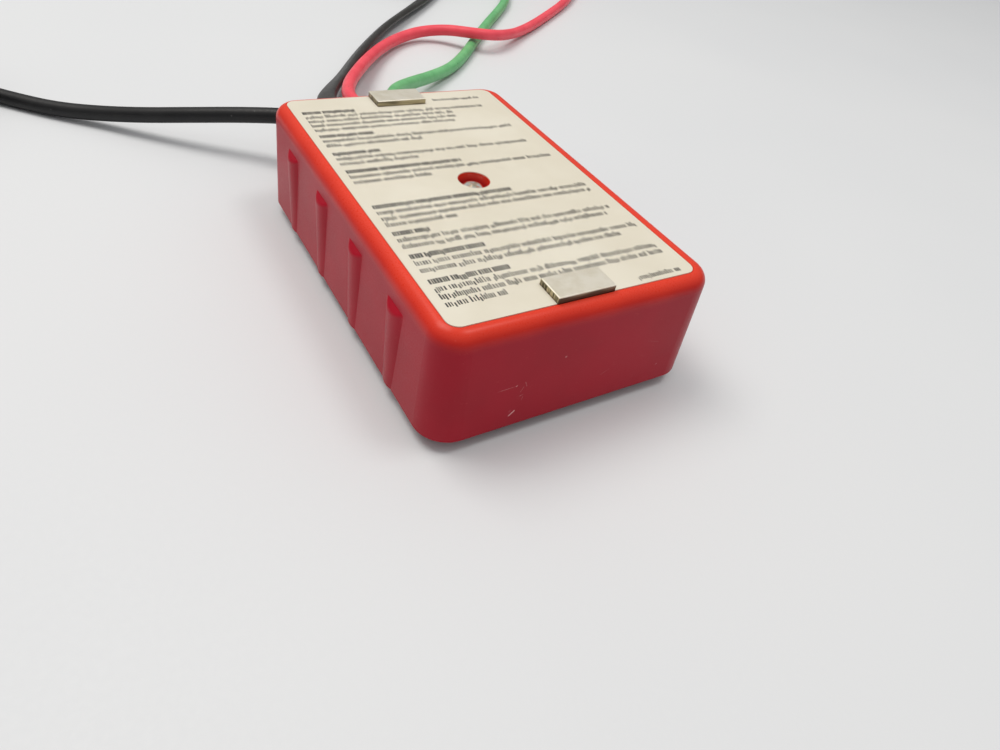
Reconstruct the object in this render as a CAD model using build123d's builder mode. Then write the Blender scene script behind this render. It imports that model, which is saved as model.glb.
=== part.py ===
"""Tone generator of a circuit tracer, with its four leads. All sizes in millimetres.

It lies on its front, back face up, on a surface at Z = 0. X is its width, Y its length, and the
leads leave the wall at +Y. The origin is the middle of the base of the case.
"""

import os
from math import cos, dist, pi, radians, sin, tan

from build123d import *

# Case: a tub, open at its front. Its walls lean in towards its back.
REST = 2.8  # the rim stands this far above the surface, on the front cover's bezel
CASE_H = 23.8
RIM_W, RIM_L, RIM_R = 60.9, 91.4, 6.5
TAPER = 2.29
LEAN = tan(radians(TAPER))
WALL, BACK_T = 2.2, 2.6
EDGE_R = 3.0
BACK_Z = REST + CASE_H
ROOF_Z = BACK_Z - BACK_T  # the inside of the back

# Grip ribs, convex and upright, cut off at a soft slope at their upper ends. They don't lean with
# the wall, so they stand least proud of it at the rim.
RIB_PITCH, RIB_COUNT = 18.4, 4
RIB_CHORD, RIB_PROUD = 6.6, 1.1
RIB_R = (RIB_CHORD**2 / 4 + RIB_PROUD**2) / (2 * RIB_PROUD)
RIB_FLARE, RIB_EDGE_R = 1.4, 1.0
RIB_TOP = BACK_Z - 5.3
RIB_WALL_X = RIM_W / 2 - (RIB_TOP - REST) * LEAN
LEDGE_X, LEDGE_T = 14.0, 2.2

# Labels and magnets. What is set in the back sits a little to one side of its middle.
BACK_X = -0.6
LABEL_W, LABEL_L, LABEL_R = 52.6, 84.2, 2.3
LABEL_T, LABEL_SUNK = 0.2, 0.15
MAGNET_W, MAGNET_L, MAGNET_T = 12.2, 6.0, 3.0
MAGNET_Y, MAGNET_PROUD = 39.2, 1.3

# Case screw, in a sunk well.
WELL_XY = (BACK_X, -0.5)
WELL_R, WELL_TUBE_R = 3.35, 4.9
SEAT_Z = BACK_Z - 3.3
WEB_Z = SEAT_Z - 2.2
SCREW_R, SCREW_HEAD_R, SCREW_HEAD_H = 1.45, 2.9, 2.2
POST_R = 3.25

# Front cover: a flange inside the rim and a panel that stands proud of it, with a sunk face.
FIT = 0.2
FLANGE_TOP = 5.0
PANEL_W, PANEL_L, PANEL_R = 50.9, 81.4, 5.0
BEZEL = 3.0
FACE_Z = 2.0
PLATE_TOP = 4.2

# Circuit board.
BOARD_Z, BOARD_T = 9.0, 1.6
BOARD_TOP = BOARD_Z + BOARD_T
BOARD_W, BOARD_Y0, BOARD_Y1 = 51.0, -11.5, 36.8
BOARD_SCREWS = [(x, y) for x in (-21.0, 21.0) for y in (-7.0, 32.5)]

# Controls and lights on the front.
SWITCH_Y, SWITCH_TRAVEL = 21.0, 12.0
KNOB_Y = SWITCH_Y + SWITCH_TRAVEL / 2
STEM_W, STEM_L = 2.8, 3.2
BUTTON_XY, BUTTON_R = (-14.0, 13.0), 3.5
LED_XY = {"norm": (-14.0, 27.5), "rev": (14.0, 27.5)}
BEEPER_XY, BEEPER_R = (14.0, 11.0), 6.0

# Battery, a 9 V block that lies across the near end.
CELL_X, CELL_Y, CELL_L, CELL_W, CELL_H = -25.2, -27.8, 46.4, 26.2, 17.5
TERMINAL_H = 2.2

# Leads: where each leaves the far wall, its radius, and its route to its coil.
EXIT_Y, EXIT_Z = 47.2, 14.0
EXIT_X = {"coax_cord": -14.0, "line_cord": -6.5, "red_lead": 1.5, "green_lead": 9.0}
CORD_R = 2.0
CLAMP_Y, INSIDE_Y = 41.0, 40.5
CLAMP_SCREWS = [(-20.5, CLAMP_Y), (15.5, CLAMP_Y)]
OPENING_X, OPENING_W, OPENING_H = -2.5, 30.4, 6.0
TIE_T = 0.6
ROUTES = {
    "coax_cord": [
        (-14.2, 52.6, 14), (-18.4, 62.6, 13.5), (-29.5, 70.1, 11.4), (-41.7, 78.3, 8.6),
        (-52.7, 86.5, 5.7), (-62.7, 94.7, 3.3), (-72, 101.3, 2.2), (-80.4, 108.6, 2),
        (-86.9, 114.6, 2.1),
    ],
    "line_cord": [
        (-6.4, 53, 13.9), (-6.4, 65, 12.5), (-4.9, 79.2, 9.8), (2.9, 94.5, 6.8), (11.8, 108.3, 4.4),
        (21, 122.8, 2.8), (30.4, 136.6, 2.2), (40, 149.6, 2), (50.1, 161.6, 2), (61.5, 173.5, 2),
        (72.4, 184.8, 2), (81.5, 194.3, 2.1),
    ],
    "red_lead": [
        (1.5, 53.2, 13.9), (1, 66, 13), (1.7, 77.9, 11.2), (7, 91.5, 9), (15, 105.6, 6.8),
        (24.7, 120.7, 4.8), (36.2, 135.7, 3.3), (48.3, 146.8, 2.7), (59.7, 151.5, 3.4),
        (69.4, 147.9, 5.1), (75.1, 139.6, 6.7), (83.4, 137, 6.5), (93.8, 142, 4.6),
        (106.2, 151.1, 2.6), (120.1, 161.2, 2.1), (135.3, 173.3, 2), (149.2, 184.5, 2),
        (162.9, 196.5, 2.2),
    ],
    "green_lead": [
        (9.1, 53.2, 13.9), (10.4, 65.6, 12.8), (17.4, 82.6, 10), (29.6, 95.7, 6.5),
        (43.1, 107.1, 3.5), (56.5, 117.3, 2.1), (68.8, 129.9, 2), (81.9, 145.6, 2),
        (96.2, 162.1, 2), (110.7, 177.8, 2), (123.9, 192.7, 2.2),
    ],
}

# Coils: centre, mean radius of the turns, full turns, headings in and out, straight tail.
COILS = {
    "coax_cord": ((-113.3, 113.6), 20.0, 2, 128.0, 270.0, 24.0),
    "line_cord": ((81.2, 226.4), 21.0, 1, 50.0, 160.0, 19.0),
    "red_lead": ((174.4, 237.0), 20.0, 1, 40.0, 160.0, 19.0),
    "green_lead": ((127.4, 236.0), 20.0, 1, 50.0, 160.0, 19.0),
}
COIL_HALF_WIDTH = 2.6

# Alligator clips, measured along the clip from the cord end, and above the surface.
CLIP_CORD_Z, CLIP_PIVOT, CLIP_L = 3.2, (26.0, 5.4), 46.0
CLIP_HALF, CLIP_SHEET = 2.5, 0.6
CLIP_PIN_R, CLIP_RUN = 0.9, 0.05

# Modular plug and screw-on coax connector.
PLUG_W, PLUG_L, PLUG_H = 9.7, 12.3, 6.6
COAX_AXIS_Z, NUT_FLATS = 5.5, 11.0


def heading(angle):
    """The level direction at an angle from +X, in degrees."""
    return Vector(cos(radians(angle)), sin(radians(angle)), 0)


def save(part, name):
    part.label = name
    export_step(part, f"parts/{name}.step")


def coil_facts(name):
    """Where a coil's cord comes in, where it leaves, and how many times it goes round."""
    (cx, cy), mean, turns, into, out, _ = COILS[name]
    winds = turns + ((out - into) % 360) / 360
    low = TIE_T + CORD_R
    high = low + 2 * CORD_R * winds
    come_in = Vector(cx, cy, low) + mean * Vector(sin(radians(into)), -cos(radians(into)), 0)
    leave = Vector(cx, cy, high) + mean * Vector(sin(radians(out)), -cos(radians(out)), 0)
    return come_in, leave, winds


def tail_end(name):
    """The far end of a coil's straight tail, put down on the surface."""
    leave = coil_facts(name)[1]
    out, tail = COILS[name][4:]
    return Vector(leave.X, leave.Y, 0) + tail * heading(out)


def corner_radii(points):
    """The largest arc at each corner that leaves both of its runs a tenth of straight."""
    radii = []
    for before, here, after in zip(points, points[1:], points[2:]):
        turn = (here - before).get_angle(after - here)
        shorter = min((here - before).length, (after - here).length)
        radii.append(0.45 * shorter / tan(radians(turn) / 2))
    return radii


os.makedirs("parts", exist_ok=True)

# ---------------------------------------------------------------- case and cover

with BuildPart() as rear_case:
    with BuildSketch(Plane.XY.offset(REST)):
        Rectangle(2 * RIB_WALL_X, RIB_PITCH * RIB_COUNT)
        with GridLocations(2 * (RIB_WALL_X + RIB_PROUD - RIB_R), RIB_PITCH, 2, RIB_COUNT):
            Circle(RIB_R)
        feet = vertices().filter_by(lambda v: abs(abs(v.X) - RIB_WALL_X) < 0.01)
        fillet(feet.filter_by(lambda v: abs(v.Y) < RIB_PITCH * RIB_COUNT / 2 - 0.01), RIB_FLARE)
    extrude(amount=CASE_H - EDGE_R)
    for side in (-1, 1):
        slope = Plane(origin=(side * RIB_WALL_X, 0, RIB_TOP), z_dir=(side, 0, 1))
        split(bisect_by=slope, keep=Keep.BOTTOM)
        tops = faces().filter_by(Axis(slope.origin, slope.z_dir))
        fillet(tops.sort_by(Axis.Z)[-1].outer_wire().edges(), RIB_EDGE_R)
    with BuildSketch(Plane.XY.offset(REST)):
        RectangleRounded(RIM_W, RIM_L, RIM_R)
    extrude(amount=CASE_H, taper=TAPER)
    fillet(faces().sort_by(Axis.Z)[-1].edges(), EDGE_R)
    with BuildSketch(Plane.XY.offset(REST)):
        RectangleRounded(RIM_W - 2 * WALL, RIM_L - 2 * WALL, RIM_R - WALL)
    extrude(amount=CASE_H - BACK_T, taper=TAPER, mode=Mode.SUBTRACT)
    # Screw well, with a web under the screw's head.
    with BuildSketch(Plane.XY.offset(WEB_Z)):
        with Locations(WELL_XY):
            Circle(WELL_TUBE_R)
    extrude(until=Until.NEXT)
    with Locations((*WELL_XY, BACK_Z)):
        CounterBoreHole(SCREW_R + 0.15, WELL_R, BACK_Z - SEAT_Z)
    # Sunk bed for the label, and pockets for the magnets.
    with BuildSketch(Plane.XY.offset(BACK_Z - LABEL_SUNK)):
        with Locations((BACK_X, 0)):
            RectangleRounded(LABEL_W + 0.4, LABEL_L + 0.4, LABEL_R + 0.2)
    extrude(amount=1, mode=Mode.SUBTRACT)
    with BuildSketch(Plane.XY.offset(BACK_Z + MAGNET_PROUD - MAGNET_T)):
        with Locations((BACK_X, MAGNET_Y), (BACK_X, -MAGNET_Y)):
            Rectangle(MAGNET_W, MAGNET_L)
    extrude(amount=MAGNET_T, mode=Mode.SUBTRACT)
    # Ledges on the end walls that the front cover's flange stands against.
    with BuildSketch(Plane.XY.offset(FLANGE_TOP)):
        with GridLocations(2 * LEDGE_X, RIM_L - 2 * WALL - LEDGE_T, 2, 2):
            Rectangle(6, LEDGE_T)
    extrude(amount=4.5)
    # Rib above the leads, with a post at each end for the cord clamp's screws.
    with BuildSketch(Plane.XY.offset(EXIT_Z + CORD_R)):
        with Locations((OPENING_X, CLAMP_Y)):
            Rectangle(36, 3)
        with Locations(*CLAMP_SCREWS):
            Circle(2.2)
    extrude(amount=ROOF_Z - EXIT_Z - CORD_R)
    with BuildSketch(Plane.XY.offset(EXIT_Z + CORD_R)):
        with Locations(*CLAMP_SCREWS):
            Circle(0.8)
    extrude(amount=6, mode=Mode.SUBTRACT)
    # Opening in the far wall for the grommet.
    with BuildSketch(Plane.XZ.offset(-RIM_L / 2 + 6)):
        with Locations((OPENING_X, EXIT_Z)):
            RectangleRounded(OPENING_W, OPENING_H, OPENING_H / 2 - 0.1)
    extrude(amount=-8, mode=Mode.SUBTRACT)
save(rear_case.part, "rear_case")

with BuildPart() as front_cover:
    with BuildSketch(Plane.XY.offset(REST)):
        RectangleRounded(RIM_W - 2 * (WALL + FIT), RIM_L - 2 * (WALL + FIT), RIM_R - WALL - FIT)
    extrude(amount=FLANGE_TOP - REST, taper=TAPER)
    with BuildSketch():
        RectangleRounded(PANEL_W, PANEL_L, PANEL_R)
    extrude(amount=REST)
    fillet(faces().sort_by(Axis.Z)[0].edges(), 0.8)
    with BuildSketch():
        RectangleRounded(PANEL_W - 2 * BEZEL, PANEL_L - 2 * BEZEL, PANEL_R - BEZEL)
    extrude(amount=FACE_Z, mode=Mode.SUBTRACT)
    with BuildSketch(Plane.XY.offset(PLATE_TOP)):
        RectangleRounded(PANEL_W - 2, PANEL_L - 2, PANEL_R - 1)
    extrude(amount=FLANGE_TOP - PLATE_TOP, mode=Mode.SUBTRACT)
    # Inside: the case screw's post, the board's bosses and two rails under the battery.
    with BuildSketch(Plane.XY.offset(PLATE_TOP)):
        with Locations(WELL_XY):
            Circle(POST_R)
    extrude(amount=WEB_Z - PLATE_TOP)
    with BuildSketch(Plane.XY.offset(PLATE_TOP)):
        with Locations(*BOARD_SCREWS):
            Circle(2.6)
    extrude(amount=BOARD_Z - PLATE_TOP)
    with BuildSketch(Plane.XY.offset(PLATE_TOP)):
        with Locations((CELL_X + CELL_L / 2, CELL_Y)):
            with GridLocations(0, 16, 1, 2):
                Rectangle(38, 1.6)
    extrude(amount=FLANGE_TOP - PLATE_TOP)
    with Locations((*WELL_XY, WEB_Z)):
        Hole(1.25, 13)
    with Locations(*[(x, y, BOARD_Z) for x, y in BOARD_SCREWS]):
        Hole(0.9, 4)
    # Openings in the panel: switch slot, button, lights and sound holes.
    with BuildSketch(Plane.XY):
        with Locations((0, SWITCH_Y)):
            Rectangle(STEM_W + 0.6, SWITCH_TRAVEL + STEM_L + 0.6)
        with Locations(BUTTON_XY):
            Circle(BUTTON_R + 0.2)
        with Locations(*LED_XY.values()):
            Circle(2.6)
        with Locations(BEEPER_XY):
            Circle(0.7)
            with PolarLocations(2.9, 6):
                Circle(0.7)
    extrude(amount=FLANGE_TOP, mode=Mode.SUBTRACT)
save(front_cover.part, "front_cover")

with BuildPart() as rear_label:
    with BuildSketch(Plane.XY.offset(BACK_Z - LABEL_SUNK)):
        with Locations((BACK_X, 0)):
            RectangleRounded(LABEL_W, LABEL_L, LABEL_R)
        with Locations(WELL_XY):
            Circle(WELL_R + 0.1, mode=Mode.SUBTRACT)
        with Locations((BACK_X, MAGNET_Y), (BACK_X, -MAGNET_Y)):
            Rectangle(MAGNET_W + 0.2, MAGNET_L + 0.2, mode=Mode.SUBTRACT)
    extrude(amount=LABEL_T)
save(rear_label.part, "rear_label")

with BuildPart() as front_label:
    with BuildSketch(Plane.XY.offset(FACE_Z)):
        RectangleRounded(PANEL_W - 2 * BEZEL - 0.6, PANEL_L - 2 * BEZEL - 0.6, 1.7)
        with Locations((0, SWITCH_Y)):
            Rectangle(STEM_W + 0.8, SWITCH_TRAVEL + STEM_L + 0.8, mode=Mode.SUBTRACT)
        with Locations(BUTTON_XY):
            Circle(BUTTON_R + 0.3, mode=Mode.SUBTRACT)
        with Locations(*LED_XY.values()):
            Circle(2.7, mode=Mode.SUBTRACT)
        with Locations(BEEPER_XY):
            Circle(4.2, mode=Mode.SUBTRACT)
    extrude(amount=-LABEL_T)
save(front_label.part, "front_label")

for name, side in (("far_magnet", 1), ("near_magnet", -1)):
    with BuildPart() as magnet:
        with BuildSketch(Plane.XY.offset(BACK_Z + MAGNET_PROUD - MAGNET_T)):
            with Locations((BACK_X, side * MAGNET_Y)):
                Rectangle(MAGNET_W, MAGNET_L)
        extrude(amount=MAGNET_T)
        fillet(faces().sort_by(Axis.Z)[-1].edges(), 0.15)
    save(magnet.part, name)

with BuildPart() as case_screw:
    with BuildSketch(Plane.XY.offset(SEAT_Z)):
        with Locations(WELL_XY):
            Circle(SCREW_HEAD_R)
    extrude(amount=SCREW_HEAD_H)
    fillet(edges().group_by(Axis.Z)[-1], 1.5)
    with BuildSketch(Plane.XY.offset(SEAT_Z)):
        with Locations(WELL_XY):
            Circle(SCREW_R)
    extrude(amount=-12)
    chamfer(edges().group_by(Axis.Z)[0], 0.9)
    with BuildSketch(Plane.XY.offset(SEAT_Z + SCREW_HEAD_H)):
        with Locations(WELL_XY):
            Rectangle(3.2, 0.75, rotation=25)
            Rectangle(0.75, 3.2, rotation=25)
    extrude(amount=-1.4, taper=12, mode=Mode.SUBTRACT)
save(case_screw.part, "case_screw")

# ---------------------------------------------------------------- electronics

with BuildPart() as circuit_board:
    with BuildSketch(Plane.XY.offset(BOARD_Z)):
        with Locations((0, (BOARD_Y0 + BOARD_Y1) / 2)):
            RectangleRounded(BOARD_W, BOARD_Y1 - BOARD_Y0, 2)
        with Locations(WELL_XY):
            Circle(POST_R + 0.4, mode=Mode.SUBTRACT)
        with Locations(*BOARD_SCREWS):
            Circle(1.15, mode=Mode.SUBTRACT)
    extrude(amount=BOARD_T)
save(circuit_board.part, "circuit_board")

with BuildPart() as board_screws:
    with BuildSketch(Plane.XY.offset(BOARD_TOP)):
        with Locations(*BOARD_SCREWS):
            Circle(1.9)
    extrude(amount=1.4)
    fillet(faces().filter_by(Axis.Z).group_by(Axis.Z)[-1].edges(), 0.5)
    with BuildSketch(Plane.XY.offset(BOARD_TOP)):
        with Locations(*BOARD_SCREWS):
            Circle(1.0)
    extrude(amount=-5.4)
    with BuildSketch(Plane.XY.offset(BOARD_TOP + 1.4)):
        with Locations(*BOARD_SCREWS):
            Rectangle(2.2, 0.5)
            Rectangle(0.5, 2.2)
    extrude(amount=-0.8, mode=Mode.SUBTRACT)
save(board_screws.part, "board_screws")

with BuildPart() as switch_housing:
    with BuildSketch(Plane.XY.offset(4.7)):
        with Locations((0, SWITCH_Y)):
            Rectangle(9, SWITCH_TRAVEL + 12)
    extrude(amount=BOARD_Z - 4.7)
    with BuildSketch(Plane.XY.offset(5.3)):
        with Locations((0, SWITCH_Y)):
            Rectangle(6.4, SWITCH_TRAVEL + 9)
    extrude(amount=3, mode=Mode.SUBTRACT)
    with BuildSketch(Plane.XY.offset(4.7)):
        with Locations((0, SWITCH_Y)):
            Rectangle(STEM_W + 0.6, SWITCH_TRAVEL + STEM_L + 0.6)
    extrude(amount=1, mode=Mode.SUBTRACT)
save(switch_housing.part, "switch_housing")

with BuildPart() as slide_knob:
    with BuildSketch(Plane.XY.offset(5.6)):
        with Locations((0, KNOB_Y)):
            Rectangle(5.8, 7)
    extrude(amount=2.4)
    with BuildSketch(Plane.XY.offset(1.6)):
        with Locations((0, KNOB_Y)):
            Rectangle(STEM_W, STEM_L)
    extrude(amount=4.2)
    with BuildSketch(Plane.XY.offset(0.3)):
        with Locations((0, KNOB_Y)):
            RectangleRounded(7, 6.6, 0.8)
    extrude(amount=1.35)
    with BuildSketch(Plane.XY.offset(0.3)):
        with Locations((0, KNOB_Y)):
            with GridLocations(0, 1.3, 1, 4):
                Rectangle(7, 0.55)
    extrude(amount=0.4, mode=Mode.SUBTRACT)
save(slide_knob.part, "slide_knob")

with BuildPart() as unlock_button:
    with BuildSketch(Plane.XY.offset(0.8)):
        with Locations(BUTTON_XY):
            Circle(BUTTON_R)
    extrude(amount=4.4)
    fillet(edges().group_by(Axis.Z)[0], 0.6)
    with BuildSketch(Plane.XY.offset(PLATE_TOP + 0.05)):
        with Locations(BUTTON_XY):
            Circle(BUTTON_R + 1)
    extrude(amount=0.95)
    with BuildSketch(Plane.XY.offset(PLATE_TOP + 1)):
        with Locations(BUTTON_XY):
            Circle(1.3)
    extrude(amount=1.6)
save(unlock_button.part, "unlock_button")

SPRING_WIRE, SPRING_R, SPRING_PITCH, SPRING_TURNS = 0.22, 1.9, 0.8, 4
with BuildPart() as unlock_spring:
    spring_foot = Vector(*BUTTON_XY, PLATE_TOP + 1 + SPRING_WIRE + 0.05)
    with BuildLine(Plane(origin=spring_foot)) as coil_line:
        Helix(SPRING_PITCH, SPRING_PITCH * SPRING_TURNS, SPRING_R)
    with BuildSketch(Plane(origin=coil_line.line @ 0, z_dir=coil_line.line % 0)):
        Circle(SPRING_WIRE)
    sweep(path=coil_line.line, is_frenet=True)
save(unlock_spring.part, "unlock_spring")

for name, (x, y) in LED_XY.items():
    with BuildPart() as led:
        with BuildSketch(Plane.XZ.offset(-y)):
            with BuildLine():
                Polyline((x, 3.5), (x, BOARD_Z), (x + 2.9, BOARD_Z), (x + 2.9, 7.9), (x + 2.5, 7.9),
                         (x + 2.5, 3.5))
                CenterArc((x, 3.5), 2.5, 270, 90)
                Line((x, 1.0), (x, 3.5))
            make_face()
        revolve(axis=Axis((x, y, 0), (0, 0, 1)))
    save(led.part, f"{name}_led")

with BuildPart() as beeper:
    with BuildSketch(Plane.XY.offset(4.8)):
        with Locations(BEEPER_XY):
            Circle(BEEPER_R)
    extrude(amount=BOARD_Z - 4.8)
    fillet(edges().group_by(Axis.Z)[0], 0.5)
    with BuildSketch(Plane.XY.offset(4.8)):
        with Locations(BEEPER_XY):
            Circle(1)
    extrude(amount=2, mode=Mode.SUBTRACT)
save(beeper.part, "beeper")

with BuildPart() as tone_chip:
    with BuildSketch(Plane.XY.offset(BOARD_TOP + 0.5)):
        with Locations((-12, 24)):
            Rectangle(6.4, 19)
    extrude(amount=3.4)
    with BuildSketch(Plane.XY.offset(BOARD_TOP)):
        with Locations((-12, 24)):
            with GridLocations(7.2, 2.54, 2, 7):
                Rectangle(0.8, 0.6)
    extrude(amount=2.4)
    with Locations((-12, 33, BOARD_TOP + 3.9)):
        Cylinder(1.1, 1, mode=Mode.SUBTRACT)
save(tone_chip.part, "tone_chip")

with BuildPart() as transformer:
    with BuildSketch(Plane.XY.offset(BOARD_TOP)):
        with Locations((10, 26)):
            Rectangle(15, 5)
    extrude(amount=12.4)
    with BuildSketch(Plane.XY.offset(BOARD_TOP + 1.6)):
        with Locations((10, 26)):
            RectangleRounded(9, 13, 2)
    extrude(amount=9)
    fillet(edges().filter_by(Axis.Z).sort_by(Axis.X)[:2], 0.3)
save(transformer.part, "transformer")

with BuildPart() as capacitors:
    for x, y, radius, height in ((-3, 12, 3.1, 11), (14, 12, 2.5, 7), (-16, 6, 2.5, 7)):
        with BuildSketch(Plane.XY.offset(BOARD_TOP)):
            with Locations((x, y)):
                Circle(radius)
        can = extrude(amount=height)
        fillet(can.edges().sort_by(Axis.Z)[-1], 0.4)
save(capacitors.part, "capacitors")

with BuildPart() as resistors:
    for x, y in ((6, 4), (9.5, 4), (18.5, 4), (-9, -5), (-12.5, -5), (8, -6)):
        with BuildSketch(Plane.XZ.offset(-y - 3)):
            with Locations((x, BOARD_TOP + 1.2)):
                Circle(1.1)
        extrude(amount=6)
        with BuildSketch(Plane.XY.offset(BOARD_TOP)):
            with Locations((x, y - 3.4), (x, y + 3.4)):
                Rectangle(0.7, 0.8)
        extrude(amount=1.6)
save(resistors.part, "resistors")

# ---------------------------------------------------------------- battery

CELL_TOP = FLANGE_TOP + CELL_H
with BuildPart() as battery:
    with BuildSketch(Plane.YZ.offset(CELL_X)):
        with Locations((CELL_Y, FLANGE_TOP + CELL_H / 2)):
            RectangleRounded(CELL_W, CELL_H, 1.6)
    extrude(amount=CELL_L)
    for offset, radius in ((-6.35, 2.8), (6.35, 3.6)):
        with BuildSketch(Plane.YZ.offset(CELL_X + CELL_L)):
            with Locations((CELL_Y + offset, FLANGE_TOP + CELL_H / 2)):
                Circle(radius)
        extrude(amount=TERMINAL_H)
save(battery.part, "battery")

SNAP_X = CELL_X + CELL_L + TERMINAL_H
with BuildPart() as battery_snap:
    with BuildSketch(Plane.YZ.offset(SNAP_X)):
        with Locations((CELL_Y, FLANGE_TOP + CELL_H / 2)):
            RectangleRounded(24, 11, 2.5)
    extrude(amount=2)
save(battery_snap.part, "battery_snap")

with BuildPart() as battery_wires:
    for rise in (0, 2.2):
        wire = [
            Vector(SNAP_X + 1, CELL_Y + 12, 13 + rise), Vector(SNAP_X + 0.6, -11, 13 + rise),
            Vector(21 - rise, -4 + rise, 15 + rise), Vector(17 - 2 * rise, 0, BOARD_TOP),
        ]
        with BuildLine() as wire_line:
            FilletPolyline(*wire, radius=[min(r, 3) for r in corner_radii(wire)])
        with BuildSketch(Plane(origin=wire_line.line @ 0, z_dir=wire_line.line % 0)):
            Circle(0.65)
        sweep(path=wire_line.line)
save(battery_wires.part, "battery_wires")

with BuildPart() as battery_foam:
    with BuildSketch(Plane.XY.offset(CELL_TOP)):
        with Locations((CELL_X + CELL_L / 2, CELL_Y + 1)):
            RectangleRounded(36, 18, 2)
    extrude(amount=ROOF_Z - CELL_TOP)
save(battery_foam.part, "battery_foam")

# ---------------------------------------------------------------- cord exit

with BuildPart() as cord_grommet:
    with BuildSketch(Plane.XZ.offset(-43)):
        with Locations((OPENING_X, EXIT_Z)):
            RectangleRounded(OPENING_W, OPENING_H, OPENING_H / 2 - 0.1)
    extrude(amount=43 - EXIT_Y)
    with BuildSketch(Plane.XZ.offset(-45.4)):
        with Locations((OPENING_X, EXIT_Z)):
            RectangleRounded(OPENING_W + 3, OPENING_H + 2.6, 3.9)
    extrude(amount=45.4 - EXIT_Y)
    fillet(faces().sort_by(Axis.Y)[-1].outer_wire().edges(), 0.9)
    with BuildSketch(Plane.XZ.offset(-42)):
        with Locations(*[(x, EXIT_Z) for x in EXIT_X.values()]):
            Circle(CORD_R)
    extrude(amount=-8, mode=Mode.SUBTRACT)
save(cord_grommet.part, "cord_grommet")

CLAMP_Z = EXIT_Z - CORD_R - 1.5
with BuildPart() as cord_clamp:
    with BuildSketch(Plane.XY.offset(CLAMP_Z)):
        with Locations((OPENING_X, CLAMP_Y)):
            RectangleRounded(40, 3.6, 1.7)
    extrude(amount=1.5)
    with BuildSketch(Plane.XY.offset(CLAMP_Z + 1.5)):
        with Locations(*CLAMP_SCREWS):
            Circle(1.7)
    extrude(amount=2 * CORD_R)
    with BuildSketch(Plane.XY.offset(CLAMP_Z)):
        with Locations(*CLAMP_SCREWS):
            Circle(1.05)
    extrude(amount=1.5 + 2 * CORD_R, mode=Mode.SUBTRACT)
save(cord_clamp.part, "cord_clamp")

with BuildPart() as clamp_screws:
    with BuildSketch(Plane.XY.offset(CLAMP_Z)):
        with Locations(*CLAMP_SCREWS):
            Circle(1.7)
    extrude(amount=-1.2)
    with BuildSketch(Plane.XY.offset(CLAMP_Z)):
        with Locations(*CLAMP_SCREWS):
            Circle(0.95)
    extrude(amount=9)
save(clamp_screws.part, "clamp_screws")

# ---------------------------------------------------------------- leads, coils and ties

for name, route in ROUTES.items():
    come_in, leave, winds = coil_facts(name)
    (cx, cy), mean, _, into, out, tail = COILS[name]
    touch = come_in - 7 * heading(into)
    points = [Vector(EXIT_X[name], INSIDE_Y, EXIT_Z), *[Vector(*p) for p in route], touch]
    radii = corner_radii(points)
    with BuildPart() as lead:
        with BuildLine() as lead_line:
            FilletPolyline(*points, radius=radii)
        with BuildSketch(Plane(origin=lead_line.line @ 0, z_dir=lead_line.line % 0)):
            Circle(CORD_R)
        sweep(path=lead_line.line)
    save(lead.part, name)
    run = lead_line.wires()[0].length
    print(
        f"{name}: tube {run:.1f}, volume {lead.part.volume:.0f} of {pi * CORD_R**2 * run:.0f},"
        f" whole lead {run - EXIT_Y + INSIDE_Y + 7 + 2 * pi * mean * winds + tail:.0f},"
        f" least radius {min(radii):.1f}; radii " + " ".join(f"{r:.0f}" for r in radii)
    )

    coil_h = 2 * CORD_R * (winds + 1)
    stem = name.split("_")[0]
    with BuildPart() as coil:
        with BuildSketch(Plane.XY.offset(TIE_T)):
            with Locations((cx, cy)):
                Circle(mean + COIL_HALF_WIDTH)
                Circle(mean - COIL_HALF_WIDTH, mode=Mode.SUBTRACT)
        extrude(amount=coil_h)
        drop = COAX_AXIS_Z if stem == "coax" else CLIP_CORD_Z
        far = tail_end(name) + Vector(0, 0, drop)
        with BuildSketch(Plane(origin=leave, z_dir=far - leave)):
            Circle(CORD_R)
        extrude(amount=dist(tuple(far), tuple(leave)))
    save(coil.part, f"{stem}_coil")

    with BuildPart() as tie:
        tie_at = (into + out) / 2 - 90  # where most turns lie on each other
        across = Plane(origin=(cx, cy, 0), x_dir=heading(tie_at), z_dir=heading(tie_at - 90))
        with BuildSketch(across):
            with Locations((mean, TIE_T + coil_h / 2)):
                RectangleRounded(2 * COIL_HALF_WIDTH + 2 * TIE_T, coil_h + 2 * TIE_T, 0.9)
                Rectangle(2 * COIL_HALF_WIDTH, coil_h, mode=Mode.SUBTRACT)
        revolve(axis=Axis((cx, cy, 0), (0, 0, 1)), revolution_arc=13)
    save(tie.part, f"{stem}_tie")

# ---------------------------------------------------------------- alligator clips

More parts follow.
